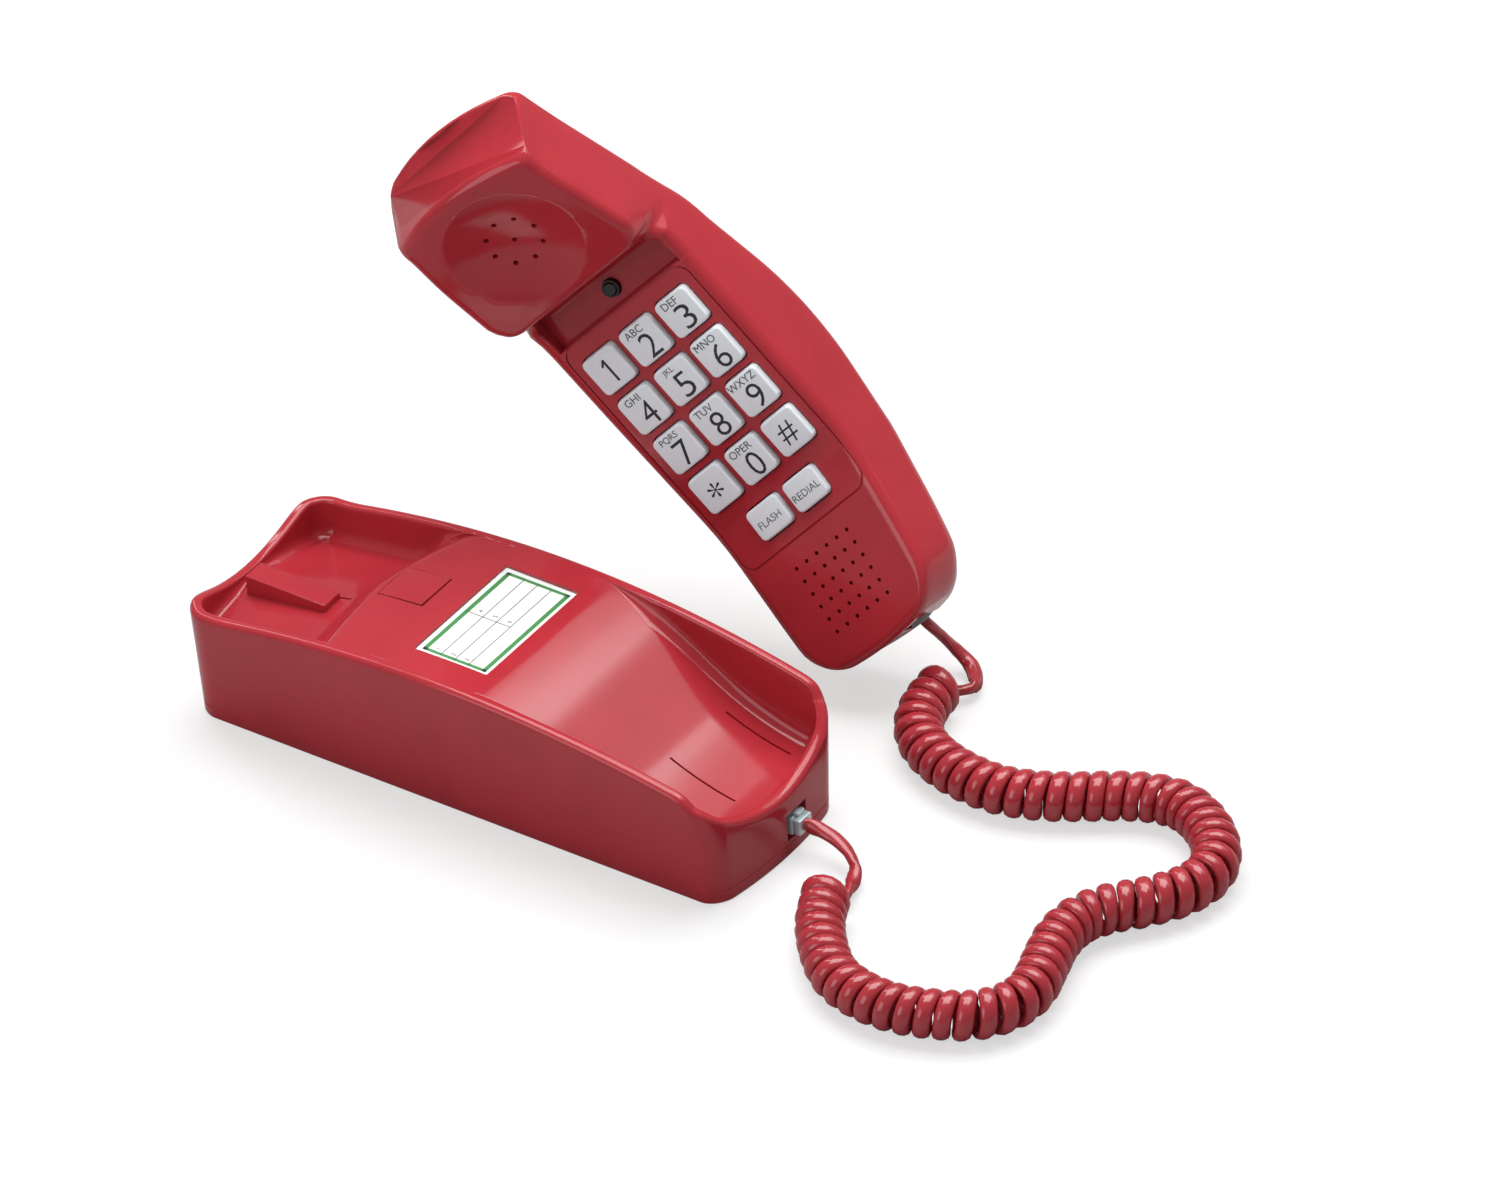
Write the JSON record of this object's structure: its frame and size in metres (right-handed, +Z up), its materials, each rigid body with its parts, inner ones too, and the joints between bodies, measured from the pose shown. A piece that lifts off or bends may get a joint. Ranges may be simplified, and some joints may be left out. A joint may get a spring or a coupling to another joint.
{
  "type": "corded wall telephone",
  "caption": "Slimline corded telephone: a cradle base with an index card and wall keyholes, a curved handset with a keypad in its face, and a coiled cord between them.",
  "frame": {"origin": "middle of the underside of the base", "axes": "+Z up, +X along the base towards its handset cord jack, +Y towards the handset standing behind it"},
  "size_m": [0.3493, 0.2015, 0.1946],
  "materials": {
    "red_plastic": "gloss",
    "red_inner": "satin",
    "key_plastic": "satin",
    "clear_plastic": "clear gloss",
    "card": "matt",
    "card_cover": "clear gloss",
    "black_rubber": "matt",
    "black_plastic": "matt",
    "dark_green": "gloss",
    "steel": "brushed",
    "iron": "rough",
    "gold": "polished",
    "board_green": "satin",
    "mat_rubber": "matt",
    "cord_vinyl": "gloss"
  },
  "bodies": {
    "base": {"base_cradle": "red_plastic", "base_bottom": "red_inner", "rubber_feet": "black_rubber", "base_screws": "steel", "ballast_plate": "iron", "index_card": "card", "card_cover": "card_cover", "base_jack": "black_plastic", "base_contacts": "gold", "line_jack": "black_plastic", "base_board": "board_green", "ringer": "black_plastic", "ringer_switch_body": "black_plastic", "plug_base": "clear_plastic", "cord_tail_base": "cord_vinyl", "cord_coil": "cord_vinyl", "cord_tail_handset": "cord_vinyl"},
    "handset": {"handset_front": "red_plastic", "handset_back": "red_plastic", "keypad_mat": "mat_rubber", "keypad_board": "board_green", "earpiece": "black_plastic", "earpiece_seal": "black_rubber", "microphone": "steel", "microphone_boot": "black_rubber", "hook_switch": "black_plastic", "handset_jack": "black_plastic", "handset_contacts": "gold", "handset_weight": "iron", "handset_screws": "steel", "plug_handset": "clear_plastic"},
    "key_1": {"key_1": "key_plastic"},
    "key_2": {"key_2": "key_plastic"},
    "key_3": {"key_3": "key_plastic"},
    "key_4": {"key_4": "key_plastic"},
    "key_5": {"key_5": "key_plastic"},
    "key_6": {"key_6": "key_plastic"},
    "key_7": {"key_7": "key_plastic"},
    "key_8": {"key_8": "key_plastic"},
    "key_9": {"key_9": "key_plastic"},
    "key_star": {"key_star": "key_plastic"},
    "key_0": {"key_0": "key_plastic"},
    "key_pound": {"key_pound": "key_plastic"},
    "key_flash": {"key_flash": "key_plastic"},
    "key_redial": {"key_redial": "key_plastic"},
    "hook_button": {"hook_button": "dark_green"},
    "hang_tab": {"hang_tab": "red_plastic"},
    "ringer_slider": {"ringer_slider": "black_plastic"}
  },
  "joints": [
    {"name": "handset_lift", "type": "slide", "parent": "base", "child": "handset", "axis": [0, 0, 1], "range_m": [0, 0.1], "deforming": ["cord_coil", "cord_tail_handset"]},
    {"name": "key_1_press", "type": "slide", "parent": "handset", "child": "key_1", "axis": [0.282, -0.9359, 0.2114], "range_m": [-0.0015, 0], "stiffness_N_per_m": 300},
    {"name": "key_2_press", "type": "slide", "parent": "handset", "child": "key_2", "axis": [0.282, -0.9359, 0.2114], "range_m": [-0.0015, 0], "stiffness_N_per_m": 300},
    {"name": "key_3_press", "type": "slide", "parent": "handset", "child": "key_3", "axis": [0.282, -0.9359, 0.2114], "range_m": [-0.0015, 0], "stiffness_N_per_m": 300},
    {"name": "key_4_press", "type": "slide", "parent": "handset", "child": "key_4", "axis": [0.282, -0.9359, 0.2114], "range_m": [-0.0015, 0], "stiffness_N_per_m": 300},
    {"name": "key_5_press", "type": "slide", "parent": "handset", "child": "key_5", "axis": [0.282, -0.9359, 0.2114], "range_m": [-0.0015, 0], "stiffness_N_per_m": 300},
    {"name": "key_6_press", "type": "slide", "parent": "handset", "child": "key_6", "axis": [0.282, -0.9359, 0.2114], "range_m": [-0.0015, 0], "stiffness_N_per_m": 300},
    {"name": "key_7_press", "type": "slide", "parent": "handset", "child": "key_7", "axis": [0.282, -0.9359, 0.2114], "range_m": [-0.0015, 0], "stiffness_N_per_m": 300},
    {"name": "key_8_press", "type": "slide", "parent": "handset", "child": "key_8", "axis": [0.282, -0.9359, 0.2114], "range_m": [-0.0015, 0], "stiffness_N_per_m": 300},
    {"name": "key_9_press", "type": "slide", "parent": "handset", "child": "key_9", "axis": [0.282, -0.9359, 0.2114], "range_m": [-0.0015, 0], "stiffness_N_per_m": 300},
    {"name": "key_star_press", "type": "slide", "parent": "handset", "child": "key_star", "axis": [0.282, -0.9359, 0.2114], "range_m": [-0.0015, 0], "stiffness_N_per_m": 300},
    {"name": "key_0_press", "type": "slide", "parent": "handset", "child": "key_0", "axis": [0.282, -0.9359, 0.2114], "range_m": [-0.0015, 0], "stiffness_N_per_m": 300},
    {"name": "key_pound_press", "type": "slide", "parent": "handset", "child": "key_pound", "axis": [0.282, -0.9359, 0.2114], "range_m": [-0.0015, 0], "stiffness_N_per_m": 300},
    {"name": "key_flash_press", "type": "slide", "parent": "handset", "child": "key_flash", "axis": [0.179, -0.9352, 0.3055], "range_m": [-0.0015, 0], "stiffness_N_per_m": 300},
    {"name": "key_redial_press", "type": "slide", "parent": "handset", "child": "key_redial", "axis": [0.179, -0.9352, 0.3055], "range_m": [-0.0015, 0], "stiffness_N_per_m": 300},
    {"name": "hook_button_press", "type": "slide", "parent": "handset", "child": "hook_button", "axis": [0.282, -0.9359, 0.2114], "range_m": [-0.002, 0], "stiffness_N_per_m": 200},
    {"name": "hang_tab_lift", "type": "slide", "parent": "base", "child": "hang_tab", "axis": [0, 0, 1], "range_m": [0, 0.009]},
    {"name": "ringer_switch", "type": "slide", "parent": "base", "child": "ringer_slider", "axis": [1, 0, 0], "range_m": [0, 0.006]}
  ]
}
